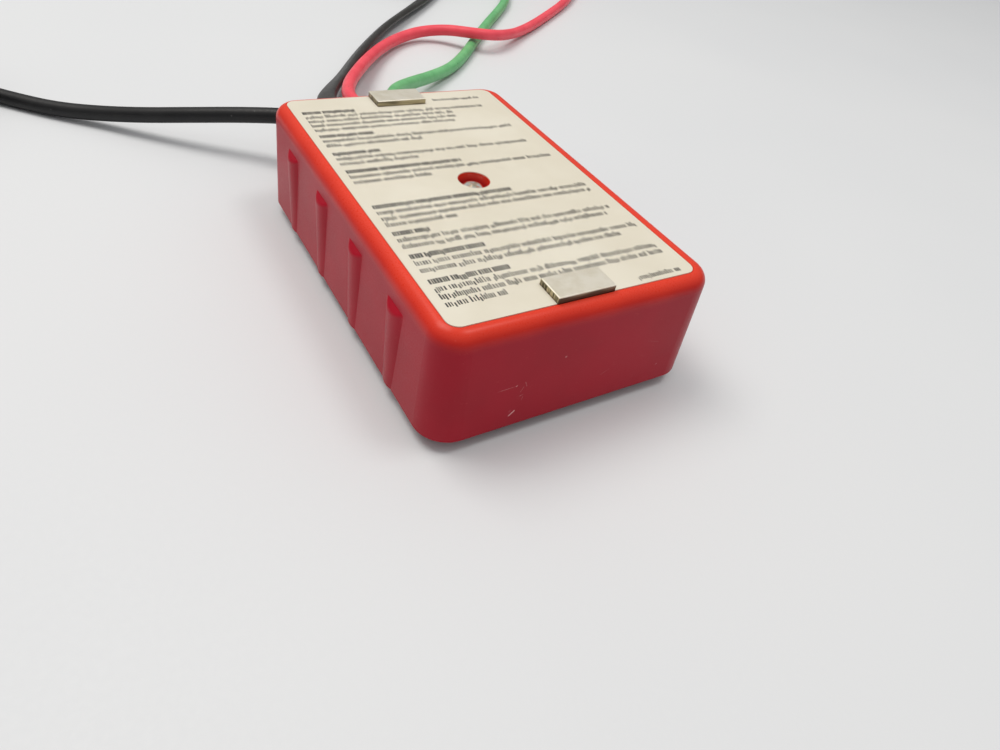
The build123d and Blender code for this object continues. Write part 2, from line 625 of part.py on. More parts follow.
for colour in ("red", "green"):
    end = tail_end(f"{colour}_lead")
    along = heading(COILS[f"{colour}_lead"][4])
    side = Plane(origin=end, x_dir=along, z_dir=along.cross(Vector(0, 0, 1)))
    nose = Plane(origin=end + Vector(0, 0, CLIP_CORD_Z), x_dir=side.z_dir, z_dir=along)
    tooth_xs = [CLIP_L - 1.2 * step for step in range(7)]

    with BuildPart() as clip_base:
        with BuildSketch(side):
            with BuildLine():
                teeth = [(x - 0.6 * odd, 3.0 - 0.7 * odd) for x in tooth_xs for odd in (0, 1)]
                Polyline((8, 0.5), (CLIP_L, 0.5), *teeth, (32, 3.6), (29, 7.2), (23, 7.2),
                         (20, 1.1), (8, 1.1), close=True)
            make_face()
        extrude(amount=CLIP_HALF, both=True)
        with BuildSketch(side):
            with BuildLine():
                Polyline((15, 1.1), (CLIP_L - 0.7, 1.1), (CLIP_L - 0.7, 9), (15, 9), close=True)
            make_face()
        extrude(amount=CLIP_HALF - CLIP_SHEET, both=True, mode=Mode.SUBTRACT)
        with BuildSketch(nose.offset(8)):
            Circle(CORD_R + 0.5)
        extrude(amount=7)
        with BuildSketch(nose.offset(7)):
            Circle(CORD_R)
        extrude(amount=9, mode=Mode.SUBTRACT)
        with BuildSketch(side):
            with Locations(CLIP_PIVOT):
                Circle(CLIP_PIN_R)
        extrude(amount=CLIP_HALF, both=True, mode=Mode.SUBTRACT)
    save(clip_base.part, f"{colour}_clip_base")

    with BuildPart() as clip_jaw:
        jaw_half = CLIP_HALF - CLIP_SHEET - 0.1
        with BuildSketch(side):
            with BuildLine():
                teeth = [(x - 0.6 * odd, 3.3 + 0.6 * odd) for x in tooth_xs for odd in (0, 1)]
                Polyline((8, 12.0), (8, 12.6), (22, 9.0), (30, 8.6), (CLIP_L, 4.4), *teeth,
                         (32, 4.6), (28.5, 3.7), (23.5, 3.7), (21.5, 8.5), close=True)
            make_face()
        extrude(amount=jaw_half, both=True)
        with BuildSketch(side):
            with BuildLine():
                Polyline((20, 2), (CLIP_L - 0.6, 2), (CLIP_L - 0.6, 3.9), (30, 8.0), (22, 8.4),
                         (20, 8.9), close=True)
            make_face()
        extrude(amount=jaw_half - CLIP_SHEET, both=True, mode=Mode.SUBTRACT)
        with BuildSketch(side):
            with Locations(CLIP_PIVOT):
                Circle(CLIP_PIN_R + CLIP_RUN)
        extrude(amount=jaw_half, both=True, mode=Mode.SUBTRACT)
    save(clip_jaw.part, f"{colour}_clip_jaw")

    with BuildPart() as clip_pin:
        with BuildSketch(side):
            with Locations(CLIP_PIVOT):
                Circle(CLIP_PIN_R)
        extrude(amount=CLIP_HALF, both=True)
        for way in (1, -1):
            with BuildSketch(side.offset(way * CLIP_HALF)):
                with Locations(CLIP_PIVOT):
                    Circle(1.5)
            extrude(amount=way * 0.5)
    save(clip_pin.part, f"{colour}_clip_pin")

    with BuildPart() as clip_spring:
        spring_mid = side.from_local_coords(Vector(*CLIP_PIVOT, -0.85))
        with BuildLine() as turns:
            Helix(0.48, 1.68, 1.28, center=spring_mid, direction=side.z_dir)
        with BuildSketch(Plane(origin=turns.line @ 0, z_dir=turns.line % 0)):
            Circle(0.22)
        sweep(path=turns.line, is_frenet=True)
    save(clip_spring.part, f"{colour}_clip_spring")

    with BuildPart() as clip_boot:
        with BuildSketch(side):
            with BuildLine():
                Polyline((6.4, 0), (20, 0), (20, 4.4), (17, 5.6), (6.4, 5.9), close=True)
            make_face()
        extrude(amount=CLIP_HALF + 0.8, both=True)
        fillet(edges().filter_by(lambda e: e.length > 10), 1.2)
        with BuildSketch(side):
            with BuildLine():
                Polyline((8, 0.5), (21, 0.5), (21, 7), (8, 7), close=True)
            make_face()
        extrude(amount=CLIP_HALF, both=True, mode=Mode.SUBTRACT)
        with BuildSketch(nose.offset(-0.2)):
            Circle(CORD_R + 0.5)
        with BuildSketch(nose.offset(6.5)):
            Circle(CORD_R + 1)
        loft()
        with BuildSketch(nose.offset(-1)):
            Circle(CORD_R)
        extrude(amount=10, mode=Mode.SUBTRACT)
    save(clip_boot.part, f"{colour}_clip_boot")

    with BuildPart() as clip_lever:
        with BuildSketch(side):
            with BuildLine():
                Polyline((6.8, 11.6), (6.8, 13.9), (9, 14.0), (19.5, 11.1), (19.5, 8.3), close=True)
            make_face()
        extrude(amount=jaw_half + 0.9, both=True)
        fillet(edges().filter_by(lambda e: e.length > 10), 0.8)
        with BuildSketch(side):
            with BuildLine():
                Polyline((8, 12.0), (8, 12.6), (22, 9.0), (21.5, 8.5), close=True)
            make_face()
        extrude(amount=jaw_half, both=True, mode=Mode.SUBTRACT)
    save(clip_lever.part, f"{colour}_clip_lever")

# ---------------------------------------------------------------- modular plug

end = tail_end("line_cord")
along = heading(COILS["line_cord"][4])
side = Plane(origin=end, x_dir=along, z_dir=along.cross(Vector(0, 0, 1)))
flat = Plane(origin=end, x_dir=along, z_dir=(0, 0, 1))
nose = Plane(origin=end + Vector(0, 0, CLIP_CORD_Z), x_dir=side.z_dir, z_dir=along)
CONTACT_PITCH, CONTACTS = 1.27, 4
with BuildPart() as modular_plug:
    with BuildSketch(flat):
        with Locations((PLUG_L / 2, 0)):
            RectangleRounded(PLUG_L, PLUG_W, 0.5)
    extrude(amount=PLUG_H)
    with BuildSketch(side):
        with BuildLine():
            Polyline((PLUG_L - 1.2, PLUG_H - 0.6), (PLUG_L - 1.2, PLUG_H + 0.7), (6, PLUG_H + 2.4),
                     (-2.5, PLUG_H + 3.2), (-2.5, PLUG_H + 2.3), (6, PLUG_H + 1.5),
                     (PLUG_L - 3, PLUG_H - 0.6), close=True)
        make_face()
    extrude(amount=1.6, both=True)
    with BuildSketch(nose.offset(-1)):
        Circle(CORD_R)
    extrude(amount=7, mode=Mode.SUBTRACT)
    with BuildSketch(nose.offset(PLUG_L - 3.4)):
        with Locations((0, 1)):
            with GridLocations(CONTACT_PITCH, 0, CONTACTS, 1):
                Rectangle(0.5, 4)
    extrude(amount=4, mode=Mode.SUBTRACT)
save(modular_plug.part, "modular_plug")

with BuildPart() as plug_contacts:
    with BuildSketch(nose.offset(PLUG_L - 3.4)):
        with Locations((0, 1.1)):
            with GridLocations(CONTACT_PITCH, 0, CONTACTS, 1):
                Rectangle(0.4, 3.2)
    extrude(amount=3.0)
save(plug_contacts.part, "plug_contacts")

# ---------------------------------------------------------------- screw-on coax connector

end = tail_end("coax_cord")
along = heading(COILS["coax_cord"][4])
axis_at = end + Vector(0, 0, COAX_AXIS_Z)
side = Plane(origin=axis_at, x_dir=along, z_dir=along.cross(Vector(0, 0, 1)))
nose = Plane(origin=axis_at, x_dir=side.z_dir, z_dir=along)
axle = Axis(axis_at, along)
BARREL_R, LIP_X, LIP_T, FLANGE_R = 3.0, 11.6, 1.3, 4.5
with BuildPart() as coax_ferrule:
    with BuildSketch(side):
        with BuildLine():
            Polyline((0, CORD_R), (0, 2.5), (1.2, BARREL_R), (LIP_X + LIP_T + 0.1, BARREL_R),
                     (LIP_X + LIP_T + 0.1, FLANGE_R), (LIP_X + LIP_T + 1.5, FLANGE_R),
                     (LIP_X + LIP_T + 1.5, 2.4), (17, 2.4), (17, 1.2), (12, 1.2), (12, CORD_R),
                     close=True)
        make_face()
    revolve(axis=axle)
save(coax_ferrule.part, "coax_ferrule")

with BuildPart() as coax_nut:
    with BuildSketch(nose.offset(LIP_X)):
        RegularPolygon(NUT_FLATS / 2, 6, major_radius=False)
    extrude(amount=10.4)
    with BuildSketch(nose.offset(LIP_X - 1)):
        Circle(BARREL_R + 0.06)
    extrude(amount=3, mode=Mode.SUBTRACT)
    with BuildSketch(nose.offset(LIP_X + LIP_T)):
        Circle(4.7)
    extrude(amount=12, mode=Mode.SUBTRACT)
save(coax_nut.part, "coax_nut")

with BuildPart() as coax_dielectric:
    with BuildSketch(nose.offset(12)):
        Circle(1.2)
        Circle(0.45, mode=Mode.SUBTRACT)
    extrude(amount=5.4)
save(coax_dielectric.part, "coax_dielectric")

with BuildPart() as coax_pin:
    with BuildSketch(nose.offset(12)):
        Circle(0.45)
    extrude(amount=12.5)
    fillet(faces().sort_by(axle)[-1].edges(), 0.3)
save(coax_pin.part, "coax_pin")
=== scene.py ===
"""Looks of a circuit tracer's tone generator: a red case that lies on its front, with four leads.

Everything is in metres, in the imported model's frame: X across the case, +Y towards the wall that
the leads leave, +Z out of its back. The surface that it lies on is at Z = 0.
"""

import math
import random

import bmesh
import bpy
import numpy as np
from mathutils import Matrix, Vector


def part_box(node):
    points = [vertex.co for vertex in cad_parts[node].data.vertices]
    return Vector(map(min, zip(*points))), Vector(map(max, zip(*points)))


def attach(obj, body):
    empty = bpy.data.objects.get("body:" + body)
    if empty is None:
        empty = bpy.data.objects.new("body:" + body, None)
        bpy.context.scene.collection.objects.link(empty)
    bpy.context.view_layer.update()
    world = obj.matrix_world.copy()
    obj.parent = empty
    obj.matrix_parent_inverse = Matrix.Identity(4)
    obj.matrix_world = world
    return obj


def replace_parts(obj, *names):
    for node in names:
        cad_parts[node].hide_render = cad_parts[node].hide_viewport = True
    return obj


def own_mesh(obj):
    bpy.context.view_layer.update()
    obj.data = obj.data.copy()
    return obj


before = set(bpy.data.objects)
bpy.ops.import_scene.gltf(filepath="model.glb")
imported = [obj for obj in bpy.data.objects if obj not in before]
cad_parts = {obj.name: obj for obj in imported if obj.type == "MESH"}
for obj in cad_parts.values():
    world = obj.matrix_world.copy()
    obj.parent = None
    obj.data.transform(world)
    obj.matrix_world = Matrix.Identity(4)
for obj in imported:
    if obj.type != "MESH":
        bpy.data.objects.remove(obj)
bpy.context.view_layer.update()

MM = 0.001


# ------------------------------------------------------------------ materials


class Surface:
    """One procedural material, built up in the object's own space. Sizes are in millimetres."""

    def __init__(self, name, **sockets):
        self.material = bpy.data.materials.new(name)
        self.material.use_nodes = True
        self.tree = self.material.node_tree
        self.shader = self.tree.nodes["Principled BSDF"]
        for socket, value in sockets.items():
            self.shader.inputs[socket.replace("_", " ")].default_value = value
        self.space = self.tree.nodes.new("ShaderNodeTexCoord").outputs["Object"]
        self.normal = None

    def link(self, value, socket):
        """Feeds a socket, or sets it, where value is a number or a colour."""
        if isinstance(value, bpy.types.NodeSocket):
            self.tree.links.new(value, socket)
        elif isinstance(value, tuple):
            socket.default_value = (*value, 1.0)[: len(socket.default_value)]
        else:
            socket.default_value = value

    def placed(self, location=(0, 0, 0), turn=(0, 0, 0), stretch=(1, 1, 1)):
        """The object's space seen from a place on it, turned by degrees, and stretched."""
        node = self.tree.nodes.new("ShaderNodeMapping")
        node.vector_type = "TEXTURE"
        node.inputs["Location"].default_value = [v * MM for v in location]
        node.inputs["Rotation"].default_value = [math.radians(v) for v in turn]
        node.inputs["Scale"].default_value = stretch
        self.tree.links.new(self.space, node.inputs["Vector"])
        return node.outputs["Vector"]

    def noise(self, size, detail=2.0, rough=0.55, space=None):
        """Soft random patches about this size."""
        node = self.tree.nodes.new("ShaderNodeTexNoise")
        node.inputs["Scale"].default_value = 1 / (size * MM)
        node.inputs["Detail"].default_value = detail
        node.inputs["Roughness"].default_value = rough
        self.tree.links.new(space or self.space, node.inputs["Vector"])
        return node.outputs["Fac"]

    def cells(self, size):
        """Distance from the middle of the nearest of many scattered spots."""
        node = self.tree.nodes.new("ShaderNodeTexVoronoi")
        node.inputs["Scale"].default_value = 1 / (size * MM)
        self.tree.links.new(self.space, node.inputs["Vector"])
        return node.outputs["Distance"]

    def waves(self, size, direction="X", distort=0.0):
        """Even bands, one in each size along a direction."""
        node = self.tree.nodes.new("ShaderNodeTexWave")
        node.bands_direction = direction
        node.inputs["Scale"].default_value = math.pi / 10 / (size * MM)
        node.inputs["Distortion"].default_value = distort
        self.tree.links.new(self.space, node.inputs["Vector"])
        return node.outputs["Fac"]

    def math(self, operation, *values):
        node = self.tree.nodes.new("ShaderNodeMath")
        node.operation = operation
        for value, socket in zip(values, node.inputs):
            self.link(value, socket)
        return node.outputs["Value"]

    def times(self, a, b):
        return self.math("MULTIPLY", a, b)

    def part(self, vector, axis):
        """One of a vector's three numbers, in metres."""
        node = self.tree.nodes.new("ShaderNodeSeparateXYZ")
        self.tree.links.new(vector, node.inputs["Vector"])
        return node.outputs[axis]

    def range(self, value, from_low, from_high, to_low=0.0, to_high=1.0):
        """A smooth step from one level to the other, as value goes between two limits."""
        node = self.tree.nodes.new("ShaderNodeMapRange")
        node.interpolation_type = "SMOOTHSTEP"
        for v, socket in zip((value, from_low, from_high, to_low, to_high), node.inputs):
            self.link(v, socket)
        return node.outputs["Result"]

    def mix(self, amount, low, high):
        """One colour turning into another."""
        node = self.tree.nodes.new("ShaderNodeMix")
        node.data_type = "RGBA"
        self.link(amount, node.inputs["Factor"])
        self.link(low, node.inputs["A"])
        self.link(high, node.inputs["B"])
        return node.outputs["Result"]

    def bump(self, height, depth):
        """Raises the surface by height times depth millimetres, on top of earlier bumps."""
        node = self.tree.nodes.new("ShaderNodeBump")
        node.inputs["Strength"].default_value = 1.0
        node.inputs["Distance"].default_value = depth * MM
        self.tree.links.new(height, node.inputs["Height"])
        if self.normal is not None:
            self.tree.links.new(self.normal, node.inputs["Normal"])
        self.normal = node.outputs["Normal"]
        self.tree.links.new(self.normal, self.shader.inputs["Normal"])

    def paint(self, color, roughness, metallic=None):
        """Feeds the shader, and gives the finished material."""
        self.link(color, self.shader.inputs["Base Color"])
        self.link(roughness, self.shader.inputs["Roughness"])
        if metallic is not None:
            self.link(metallic, self.shader.inputs["Metallic"])
        return self.material


def tinted(color, scale, lift=0.0):
    """A colour scaled and lifted, and kept within white."""
    return tuple(min(1, scale * c + lift) for c in color)


def moulded(name, light, dark, rough=(0.34, 0.44), grain=0.28, depth=0.006):
    """Moulded plastic with a fine spark-eroded grain, faint sink marks and hairline rubs."""
    s = Surface(name)
    fine = s.noise(grain, 3)
    broad = s.noise(14, 2)
    slanting = s.placed(turn=(20, 35, 0), stretch=(9, 1, 1))
    rubs = s.range(s.noise(1.1, 4, 0.7, slanting), 0.6, 0.72)
    s.bump(fine, depth)
    s.bump(broad, 0.05)
    color = s.mix(s.range(broad, 0.3, 0.7), dark, light)
    color = s.mix(s.times(rubs, 0.10), color, tinted(light, 1.6, 0.05))
    roughness = s.math("ADD", s.range(fine, 0.25, 0.75, *rough), s.times(rubs, 0.10))
    return s.paint(color, roughness)


# Heights over which the case turns orange, a painted highlight round its top edges, and where its
# near wall's face begins, in metres.
PAINTED_HIGHLIGHT_FROM, PAINTED_HIGHLIGHT_TO = 0.0235, 0.0280
NEAR_FROM, NEAR_TO = -0.0435, -0.0440
# Scuffs on the near wall: middle (x, z), length, width, turn in degrees, and how light.
SCUFFS = [
    (-15.9, 12.5, 4.2, 0.16, 2, 0.30), (-13.9, 12.6, 0.5, 0.35, 40, 0.45),
    (-12.6, 11.3, 1.6, 0.12, 62, 0.26), (-11.9, 12.4, 1.5, 0.16, -68, 0.28),
    (-12.5, 9.9, 0.9, 0.22, 15, 0.26), (-12.2, 9.0, 1.2, 0.14, 80, 0.20),
    (-13.9, 5.9, 1.9, 0.34, 42, 0.95), (-14.4, 6.6, 0.7, 0.15, 50, 0.30),
    (-4.2, 16.4, 0.5, 0.5, 0, 0.35), (6.5, 9.4, 2.6, 0.12, 24, 0.16),
    (17.2, 13.9, 3.4, 0.10, -18, 0.14), (20.4, 7.1, 0.6, 0.3, 35, 0.30),
]


def case_plastic():
    """Glossy red styrene, fine grained, with dust in the grain, a few light scuffs, and a painted
    orange highlight round its top edges.
    """
    s = Surface("case_red", Specular_IOR_Level=0.19, Coat_Weight=0.05, Coat_Roughness=0.2)
    fine = s.noise(0.30, 3)
    broad = s.noise(16, 2)
    dust = s.range(s.noise(0.9, 5, 0.75), 0.66, 0.74)
    slanting = s.placed(turn=(15, 30, 25), stretch=(14, 1, 1))
    rubs = s.range(s.noise(0.8, 4, 0.7, slanting), 0.63, 0.72)
    s.bump(fine, 0.008)
    s.bump(broad, 0.10)
    # The red leans towards crimson, partly the case's own colour and partly a painted bounce of
    # blue light.
    color = s.mix(s.range(broad, 0.3, 0.7), (0.37, 0.0015, 0.015), (0.42, 0.002, 0.018))
    # The colour turns lighter and more orange around the back and its edges: a painted highlight.
    height = s.math("ADD", s.part(s.space, "Z"), s.times(broad, 2 * MM))
    painted_highlight = s.range(height, PAINTED_HIGHLIGHT_FROM, PAINTED_HIGHLIGHT_TO)
    color = s.mix(s.times(painted_highlight, 0.85), color, (0.80, 0.052, 0.018))
    color = s.mix(s.times(rubs, 0.10), color, (0.85, 0.20, 0.18))
    color = s.mix(s.times(dust, 0.05), color, (0.85, 0.55, 0.50))
    near = s.range(s.part(s.space, "Y"), NEAR_FROM, NEAR_TO)
    for x, z, length, width, turn, light in SCUFFS:
        at = s.placed((x, 0, z), (0, -turn, 0))
        along = s.range(s.math("ABSOLUTE", s.part(at, "X")), length / 2 * MM, length / 3 * MM)
        across = s.range(s.math("ABSOLUTE", s.part(at, "Z")), width / 2 * MM, width / 6 * MM)
        broken = s.range(s.noise(0.35, 3), 0.35, 0.6, 0.35, 1.0)
        mask = s.times(s.times(along, across), s.times(near, broken))
        color = s.mix(s.times(mask, light), color, (0.95, 0.62, 0.60))
    roughness = s.math("ADD", s.range(fine, 0.25, 0.75, 0.30, 0.42), s.times(rubs, 0.12))
    smoother = s.times(painted_highlight, 0.06)
    return s.paint(color, s.math("SUBTRACT", roughness, smoother))


def label_film(name, light, dark, rough=(0.42, 0.55)):
    """Printed polyester film: fine tooth, faint yellowing, and a little grime."""
    s = Surface(name, Specular_IOR_Level=0.4)
    tooth = s.noise(0.18, 3)
    broad = s.noise(18, 3)
    grime = s.range(s.noise(3.2, 5, 0.7), 0.60, 0.80)
    s.bump(tooth, 0.003)
    s.bump(broad, 0.03)
    color = s.mix(s.range(broad, 0.3, 0.7), dark, light)
    color = s.mix(s.times(grime, 0.16), color, tinted(dark, 0.72))
    color = s.mix(s.times(s.range(tooth, 0.6, 0.8), 0.10), color, dark)
    return s.paint(color, s.range(tooth, 0.3, 0.7, *rough))


def ink(name, tone, paper):
    """Printed ink that lets a little of the film through where it is thin."""
    s = Surface(name)
    thin = s.range(s.noise(0.5, 4, 0.7), 0.50, 0.78)
    s.bump(s.noise(0.15, 2), 0.002)
    color = s.mix(s.times(thin, 0.35), tone, paper)
    return s.paint(color, s.range(thin, 0, 1, 0.42, 0.6))


def metal(name, bright, dull, rough, brush=(1, 1, 12), size=0.5):
    """Plated metal: fine brushing, patches of dull plating, and pin-prick pits."""
    s = Surface(name, Metallic=1.0)
    lines = s.noise(size, 4, 0.65, s.placed(stretch=brush))
    patches = s.noise(2.6, 4, 0.6)
    pits = s.range(s.cells(0.9), 0.10, 0.02)
    s.bump(lines, 0.003)
    s.bump(pits, -0.02)
    color = s.mix(s.range(patches, 0.42, 0.72), bright, dull)
    color = s.mix(s.times(pits, 0.5), color, tinted(dull, 0.35))
    brushed = s.range(lines, 0.3, 0.7, *rough)
    dulled = s.range(patches, 0.4, 0.8, 0, 0.14)
    return s.paint(color, s.math("ADD", brushed, dulled))


# Just under the magnets' tops, where their sides and the painted shade on them begin, in metres.
SHADED_SIDE_FROM, SHADED_SIDE_TO = 0.02778, 0.02765


def magnet_skin():
    """Satin plated bar: a pale champagne top, and sides painted dark as shade, streaked lighter in
    fine stripes.
    """
    s = Surface("magnet", Specular_IOR_Level=0.6)
    fine = s.noise(0.22, 3, 0.6)
    patches = s.noise(3.5, 3, 0.55)
    stripes = s.noise(0.35, 2, 0.6, s.placed((0, 0.1, 0), stretch=(40, 1, 8)))
    # Below the top, the sides take a painted shade: dark, with lighter stripes.
    side = s.range(s.part(s.space, "Z"), SHADED_SIDE_FROM, SHADED_SIDE_TO)
    s.bump(fine, 0.003)
    s.bump(stripes, 0.03)
    top = s.mix(s.range(patches, 0.35, 0.7), (0.93, 0.88, 0.76), (0.84, 0.78, 0.64))
    edge = s.mix(s.range(stripes, 0.40, 0.62), (0.10, 0.085, 0.055), (0.55, 0.48, 0.31))
    color = s.mix(side, top, edge)
    metallic = s.range(side, 0, 1, 0.72, 0.85)
    return s.paint(color, s.range(fine, 0.3, 0.7, 0.30, 0.44), metallic)


def sheath(name, light, dark, speck, rough=(0.36, 0.48)):
    """Soft vinyl: extruded skin, cloudy colour, rubbed patches, and specks of dirt."""
    s = Surface(name, Specular_IOR_Level=0.32)
    skin = s.noise(0.5, 3)
    cloud = s.noise(7, 3)
    dirt = s.range(s.cells(2.9), 0.105, 0.045)
    fleck = s.range(s.noise(0.55, 3, 0.7), 0.68, 0.76)
    s.bump(skin, 0.012)
    s.bump(cloud, 0.06)
    color = s.mix(s.range(cloud, 0.3, 0.7), dark, light)
    color = s.mix(s.times(fleck, 0.22), color, tinted(light, 1.25, 0.02))
    color = s.mix(s.times(dirt, 0.75), color, speck)
    return s.paint(color, s.range(skin, 0.3, 0.7, *rough))


def banded(name, base, bands, pitch, direction):
    """A small component's body, with printed or wound bands across it."""
    s = Surface(name)
    fine = s.noise(0.3, 3)
    ring = s.range(s.waves(pitch, direction, 0.2), 0.62, 0.72)
    s.bump(fine, 0.01)
    s.bump(ring, 0.05)
    return s.paint(s.mix(ring, base, bands), s.range(fine, 0.3, 0.7, 0.35, 0.5))


def board_skin():
    """Green solder mask over copper tracks, with a woven glass grain under it."""
    s = Surface("board_green", Coat_Weight=0.3, Coat_Roughness=0.25)
    tracks = s.times(s.waves(2.54, "X", 3.0), s.waves(5.08, "Y", 2.0))
    weave = s.times(s.waves(0.5, "X"), s.waves(0.5, "Y"))
    edge = s.range(tracks, 0.38, 0.44)
    s.bump(edge, 0.035)
    s.bump(weave, 0.01)
    color = s.mix(edge, (0.012, 0.085, 0.030), (0.030, 0.170, 0.055))
    return s.paint(s.mix(s.times(weave, 0.2), color, (0.05, 0.2, 0.08)), 0.35)


def foam_skin():
    """Dark open-cell foam."""
    s = Surface("foam_grey")
    pores = s.range(s.cells(0.7), 0.1, 0.5)
    s.bump(pores, 0.25)
    # The colour darkens towards each pore's middle, where the bump sinks it: painted shade in the
    # pores.
    return s.paint(s.mix(pores, (0.02, 0.02, 0.022), (0.10, 0.10, 0.105)), 0.92)


# The battery, in metres: where its copper band begins, its middle, and how far out its rims are.
BAND_FROM, BAND_TO, BATTERY_MID, RIM_FROM, RIM_TO = 0.0118, 0.0121, -0.002, 0.0222, 0.0226


def battery_skin():
    """Printed metal jacket: a dark body, a copper band at one end, and rolled bright edges."""
    s = Surface("battery_skin", Coat_Weight=0.4, Coat_Roughness=0.2)
    x = s.part(s.space, "X")
    band = s.range(x, BAND_FROM, BAND_TO)
    rim = s.range(s.math("ABSOLUTE", s.math("SUBTRACT", x, BATTERY_MID)), RIM_FROM, RIM_TO)
    scratch = s.range(s.noise(0.9, 4, 0.7, s.placed(stretch=(8, 1, 1))), 0.62, 0.72)
    s.bump(s.noise(0.4, 3), 0.01)
    color = s.mix(band, (0.02, 0.021, 0.024), (0.42, 0.15, 0.05))
    color = s.mix(rim, color, (0.55, 0.54, 0.52))
    color = s.mix(s.times(scratch, 0.2), color, (0.5, 0.5, 0.5))
    return s.paint(color, s.range(scratch, 0, 1, 0.3, 0.5), s.times(rim, 0.9))


def lens(name, light, dark):
    """Tinted, lightly frosted lamp body."""
    s = Surface(name, IOR=1.5, Transmission_Weight=0.35, Coat_Weight=0.3)
    haze = s.noise(1.5, 3)
    s.bump(s.noise(0.4, 2), 0.01)
    return s.paint(s.mix(haze, dark, light), s.range(haze, 0.3, 0.7, 0.12, 0.24))


def clear_plastic():
    """Clear polycarbonate: faintly smoky, with moulding haze."""
    s = Surface("clear_plastic", IOR=1.58, Transmission_Weight=0.82, Specular_IOR_Level=0.5)
    haze = s.noise(2.0, 3)
    s.bump(s.noise(0.8, 2), 0.01)
    color = s.mix(haze, (0.86, 0.88, 0.88), (0.76, 0.79, 0.80))
    return s.paint(color, s.range(haze, 0.3, 0.7, 0.08, 0.2))


def floor_skin():
    """Pale seamless board with a faint tooth."""
    s = Surface("floor_pale", Specular_IOR_Level=0.25)
    broad = s.noise(160, 2)
    tooth = s.noise(1.2, 3)
    s.bump(tooth, 0.02)
    color = s.mix(broad, (0.66, 0.68, 0.71), (0.72, 0.735, 0.755))
    return s.paint(color, s.range(tooth, 0.3, 0.7, 0.5, 0.6))


LABEL_LIGHT, LABEL_DARK = (0.73, 0.69, 0.585), (0.68, 0.635, 0.525)
RED_SKIN = ((0.91, 0.090, 0.125), (0.83, 0.066, 0.098))
GREEN_SKIN = ((0.18, 0.52, 0.22), (0.13, 0.43, 0.17))
BLACK_SKIN = ((0.010, 0.010, 0.011), (0.006, 0.006, 0.007))
BOOT_ROUGH = (0.3, 0.42)

M = {
    "case_red": case_plastic(),
    "label_cream": label_film("label_cream", LABEL_LIGHT, LABEL_DARK),
    "label_dark": label_film("label_dark", (0.045, 0.047, 0.052), (0.028, 0.029, 0.032)),
    "label_ink": ink("label_ink", (0.030, 0.028, 0.026), (0.20, 0.18, 0.15)),
    "label_white_ink": ink("label_white_ink", (0.72, 0.72, 0.70), (0.40, 0.40, 0.40)),
    "nickel": metal(
        "nickel", (0.83, 0.79, 0.70), (0.66, 0.60, 0.50), (0.14, 0.30), (10, 1, 1), 0.35
    ),
    "magnet": magnet_skin(),
    "steel": metal(
        "steel", (0.72, 0.70, 0.66), (0.52, 0.50, 0.47), (0.20, 0.38), (1, 9, 1), 0.4
    ),
    "bright_screw": metal("bright_screw", (0.97, 0.94, 0.88), (0.80, 0.76, 0.68), (0.10, 0.22)),
    "gold": metal("gold", (0.90, 0.66, 0.25), (0.72, 0.48, 0.16), (0.14, 0.28)),
    "copper": metal("copper", (0.85, 0.46, 0.30), (0.55, 0.27, 0.17), (0.18, 0.34)),
    "black_plastic": moulded("black_plastic", (0.030, 0.030, 0.032), (0.020, 0.020, 0.022)),
    "black_rubber": moulded(
        "black_rubber", (0.024, 0.024, 0.025), (0.014, 0.014, 0.015), (0.55, 0.7), 0.5, 0.02
    ),
    "capacitor": banded("capacitor", (0.015, 0.025, 0.075), (0.30, 0.33, 0.40), 9.0, "X"),
    "ferrite": moulded(
        "ferrite", (0.040, 0.038, 0.038), (0.022, 0.020, 0.020), (0.6, 0.8), 0.5, 0.03
    ),
    "winding": banded("winding", (0.60, 0.42, 0.06), (0.45, 0.30, 0.04), 0.5, "Z"),
    "resistor": banded("resistor", (0.62, 0.47, 0.28), (0.10, 0.05, 0.03), 1.5, "Y"),
    "white_plastic": moulded("white_plastic", (0.78, 0.77, 0.73), (0.70, 0.68, 0.64), (0.4, 0.5)),
    "yellow_plastic": moulded("yellow_plastic", (0.80, 0.62, 0.06), (0.70, 0.50, 0.04), (0.4, 0.5)),
    "board_green": board_skin(),
    "battery_skin": battery_skin(),
    "foam_grey": foam_skin(),
    "led_green": lens("led_green", (0.10, 0.62, 0.16), (0.05, 0.40, 0.09)),
    "led_red": lens("led_red", (0.80, 0.05, 0.04), (0.55, 0.02, 0.02)),
    "clear_plastic": clear_plastic(),
    "lead_red": sheath("lead_red", *RED_SKIN, (0.16, 0.02, 0.03)),
    "lead_green": sheath("lead_green", *GREEN_SKIN, (0.02, 0.07, 0.03)),
    "cord_black": sheath("cord_black", *BLACK_SKIN, (0.06, 0.06, 0.06), (0.40, 0.52)),
    "cord_grey": sheath(
        "cord_grey", (0.040, 0.038, 0.036), (0.026, 0.025, 0.024), (0.10, 0.09, 0.085)
    ),
    "wire_red": sheath("wire_red", (0.60, 0.02, 0.02), (0.48, 0.015, 0.015), (0.1, 0.01, 0.01)),
    "boot_red": sheath(
        "boot_red", (0.72, 0.030, 0.035), (0.60, 0.020, 0.025), (0.14, 0.01, 0.02), BOOT_ROUGH
    ),
    "boot_green": sheath(
        "boot_green", (0.06, 0.36, 0.10), (0.04, 0.27, 0.07), (0.02, 0.06, 0.02), BOOT_ROUGH
    ),
    "strap": banded("strap", (0.022, 0.022, 0.024), (0.045, 0.045, 0.048), 0.45, "Z"),
}

